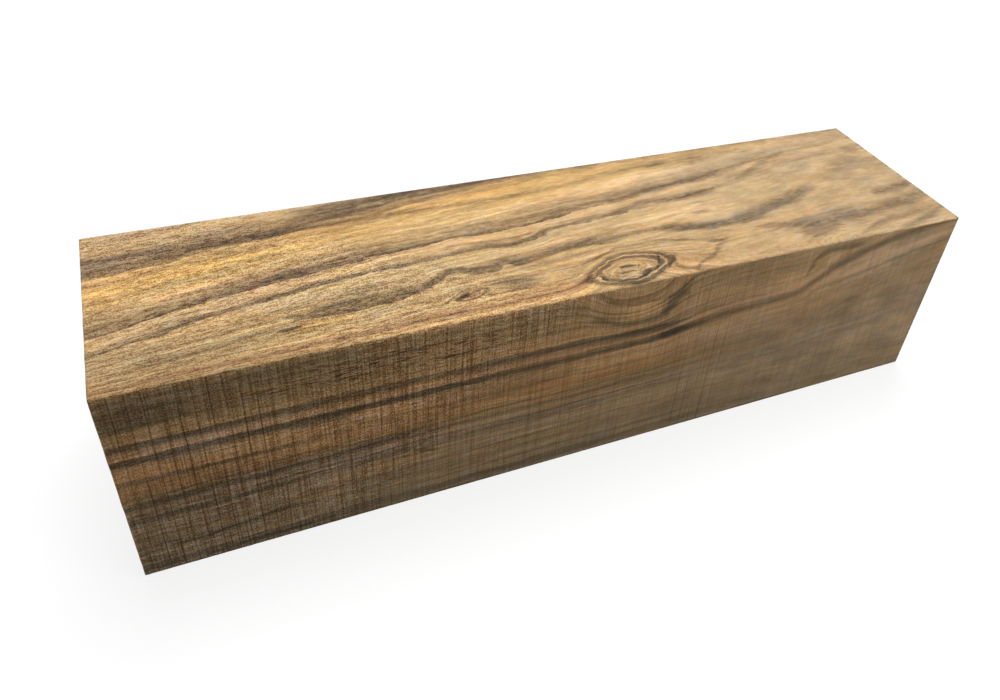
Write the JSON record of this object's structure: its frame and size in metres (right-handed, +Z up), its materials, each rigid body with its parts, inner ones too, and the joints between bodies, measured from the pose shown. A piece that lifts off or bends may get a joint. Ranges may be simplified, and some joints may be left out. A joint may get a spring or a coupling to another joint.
{
  "type": "wood turning blank",
  "caption": "Square-section sawn hardwood block with long-grain sides and crosscut ends, raw stock to be held between centres on a lathe.",
  "frame": {"origin": "on the supporting face, under the middle of the block", "axes": "+X along the grain, +Y from the seen side to the back, +Z up"},
  "size_m": [0.1524, 0.0382, 0.0381],
  "materials": {
    "sawn_hardwood": "bare wood, smooth planed top and saw-marked sides, golden tan with near-black streaks"
  },
  "bodies": {
    "root": {"turning_blank": "sawn_hardwood"}
  },
  "joints": []
}
